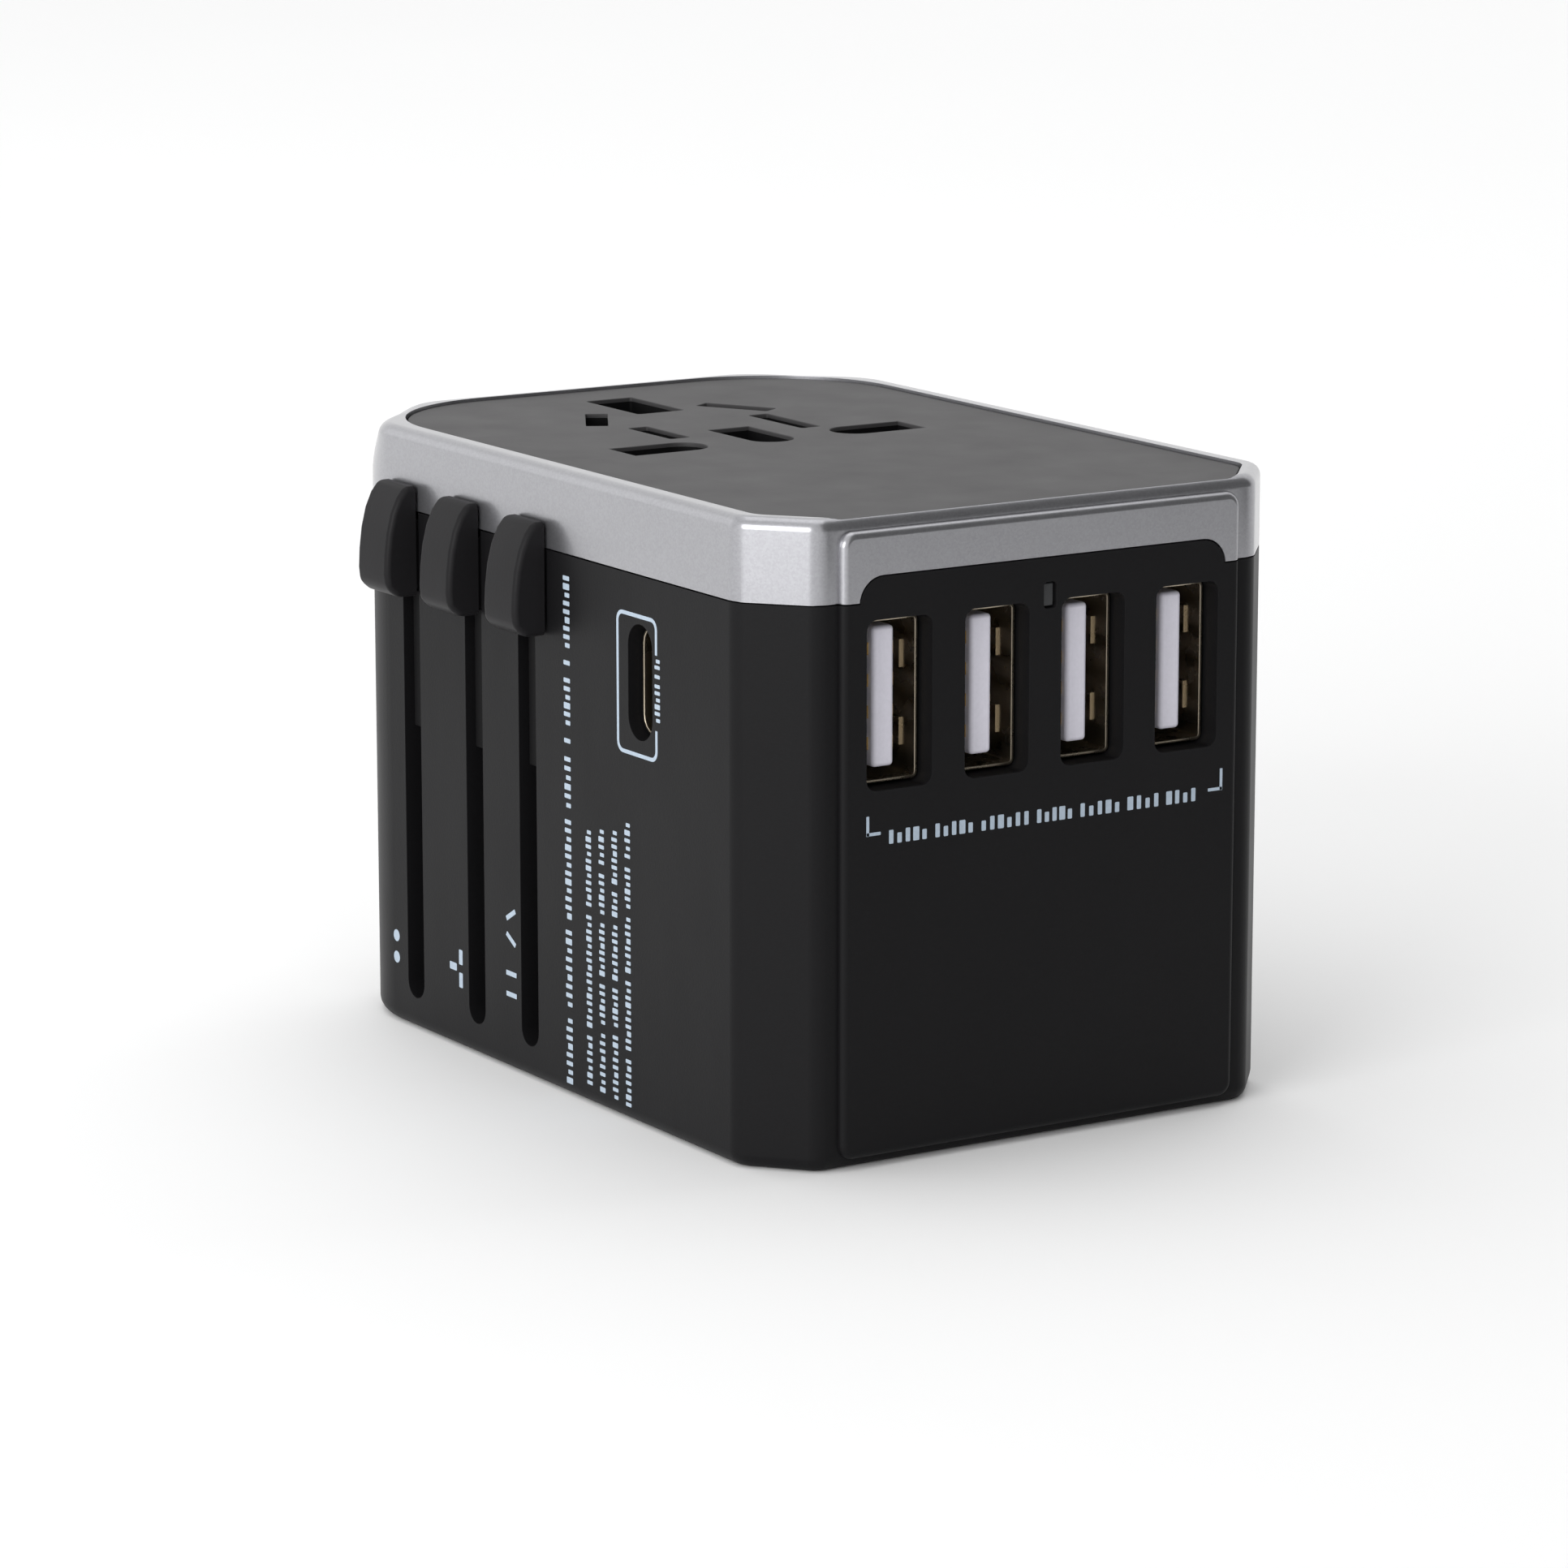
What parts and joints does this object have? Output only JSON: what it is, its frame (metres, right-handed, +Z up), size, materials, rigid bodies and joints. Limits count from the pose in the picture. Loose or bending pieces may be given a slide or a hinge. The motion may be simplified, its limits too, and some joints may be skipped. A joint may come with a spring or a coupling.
{
  "type": "universal travel adapter",
  "caption": "Pocket travel adapter block with a universal socket, sliding plugs that come out of its base, and USB charging ports.",
  "frame": {"origin": "on the base face, at the middle of the body's length and width", "axes": "+X along the body towards the end with the four large USB ports, -Y is the side with the slider knobs, +Z up through the socket plate"},
  "size_m": [0.0722, 0.0537, 0.052],
  "materials": {
    "black_plastic": "fine satin moulding",
    "silver_paint": "metallic silver paint, satin",
    "grey_plate": "fine matt texture",
    "knob_plastic": "soft satin",
    "inner_plastic": "plain moulding",
    "white_nylon": "plain moulding",
    "shell_steel": "tin-plated sheet",
    "screw_steel": "zinc plated",
    "contact_brass": "stamped sheet",
    "nickel_pin": "nickel plated brass",
    "circuit_board": "green solder mask",
    "light_pipe": "clear acrylic",
    "winding": "yellow winding tape",
    "capacitor_sleeve": "shrink sleeve"
  },
  "bodies": {
    "root": {"housing": "black_plastic", "bezel": "silver_paint", "socket_plate": "grey_plate", "base_plate": "black_plastic", "chassis": "inner_plastic", "contact_cover": "inner_plastic", "shutter_spring": "screw_steel", "live_contact": "contact_brass", "neutral_contact": "contact_brass", "usb_a_shell_1": "shell_steel", "usb_a_shell_2": "shell_steel", "usb_a_shell_3": "shell_steel", "usb_a_shell_4": "shell_steel", "usb_a_tongue_1": "white_nylon", "usb_a_tongue_2": "white_nylon", "usb_a_tongue_3": "white_nylon", "usb_a_tongue_4": "white_nylon", "usb_c_shell": "shell_steel", "usb_c_tongue": "inner_plastic", "usb_c_board": "circuit_board", "led_light_pipe": "light_pipe", "charger_board": "circuit_board", "transformer": "winding", "capacitor_1": "capacitor_sleeve", "capacitor_2": "capacitor_sleeve", "fuse_clip_1": "contact_brass", "fuse_clip_2": "contact_brass", "fuse": "nickel_pin", "screw_1": "screw_steel", "screw_2": "screw_steel", "screw_3": "screw_steel", "screw_4": "screw_steel"},
    "eu_plug": {"eu_carriage": "inner_plastic", "eu_knob": "knob_plastic", "eu_pin_1": "nickel_pin", "eu_pin_2": "nickel_pin"},
    "uk_plug": {"uk_carriage": "inner_plastic", "uk_knob": "knob_plastic", "uk_blade_1": "nickel_pin", "uk_blade_2": "nickel_pin", "uk_earth_pin": "inner_plastic"},
    "us_plug": {"us_carriage": "inner_plastic", "us_knob": "knob_plastic"},
    "us_blade_1": {"us_blade_1": "nickel_pin"},
    "us_blade_2": {"us_blade_2": "nickel_pin"},
    "shutter": {"shutter": "inner_plastic"}
  },
  "joints": [
    {"name": "eu_slide", "type": "slide", "parent": "root", "child": "eu_plug", "axis": [0, 0, -1], "range_m": [0, 0.023]},
    {"name": "uk_slide", "type": "slide", "parent": "root", "child": "uk_plug", "axis": [0, 0, -1], "range_m": [0, 0.023]},
    {"name": "us_slide", "type": "slide", "parent": "root", "child": "us_plug", "axis": [0, 0, -1], "range_m": [0, 0.023]},
    {"name": "us_blade_turn_1", "type": "hinge", "parent": "us_plug", "child": "us_blade_1", "pos_m": [-0.00195, -0.0076, 0.006], "axis": [0, 0, 1], "range_deg": [-30, 0]},
    {"name": "us_blade_turn_2", "type": "hinge", "parent": "us_plug", "child": "us_blade_2", "pos_m": [-0.00195, 0.0056, 0.006], "axis": [0, 0, 1], "range_deg": [0, 30]},
    {"name": "shutter_slide", "type": "slide", "parent": "root", "child": "shutter", "axis": [1, 0, 0], "range_m": [0, 0.0056], "stiffness_N_per_m": 80}
  ]
}
